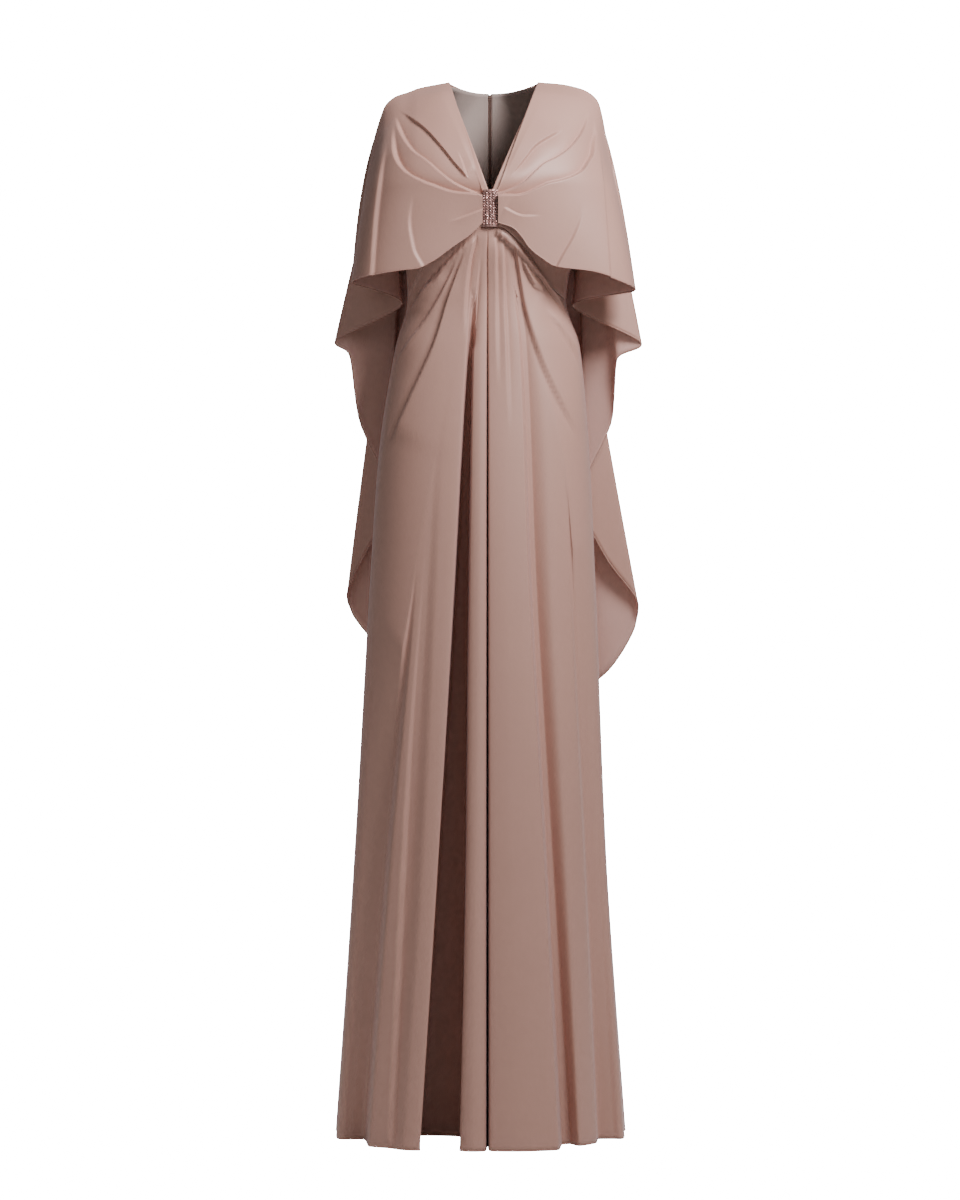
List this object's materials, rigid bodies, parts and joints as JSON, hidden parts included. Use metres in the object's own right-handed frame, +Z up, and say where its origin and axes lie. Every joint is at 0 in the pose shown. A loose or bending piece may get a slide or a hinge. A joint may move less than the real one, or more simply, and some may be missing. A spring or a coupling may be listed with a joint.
{
  "type": "v-neck cape gown, worn with no wearer",
  "caption": "Floor-length v-neck gown in satin-back crepe, draped from a beaded bar under the bust, with a cape that falls in cascades at the sides and hangs long behind.",
  "frame": {"origin": "at shoulder height, in the middle between the two shoulders and between front and back, where the wearer's shoulders hold the gown", "axes": "+Z up along the body, the front faces -Y, +X towards the viewer's right"},
  "size_m": [0.465, 0.3973, 1.581],
  "materials": {
    "crepe": "soft satin sheen",
    "crepe_back": "matte",
    "beads": "sparkling",
    "zip": "satin"
  },
  "bodies": {
    "gown": {"cape_front_left": "crepe", "cape_front_right": "crepe", "cape_back_left": "crepe", "cape_back_right": "crepe", "bodice_front_left": "crepe_back", "bodice_front_right": "crepe_back", "bodice_back_left": "crepe_back", "bodice_back_right": "crepe_back", "skirt_front_left": "crepe", "skirt_front_right": "crepe", "skirt_back_left": "crepe", "skirt_back_right": "crepe", "beaded_bar": "beads", "zip_chain": "zip", "zip_slider": "zip"},
    "pull_tab": {"zip_pull_tab": "zip"}
  },
  "joints": [
    {"name": "pull_tab_hinge", "type": "hinge", "parent": "gown", "child": "pull_tab", "pos_m": [0, 0.08749, -0.017], "axis": [1, 0, 0], "range_deg": [0, 165]}
  ]
}
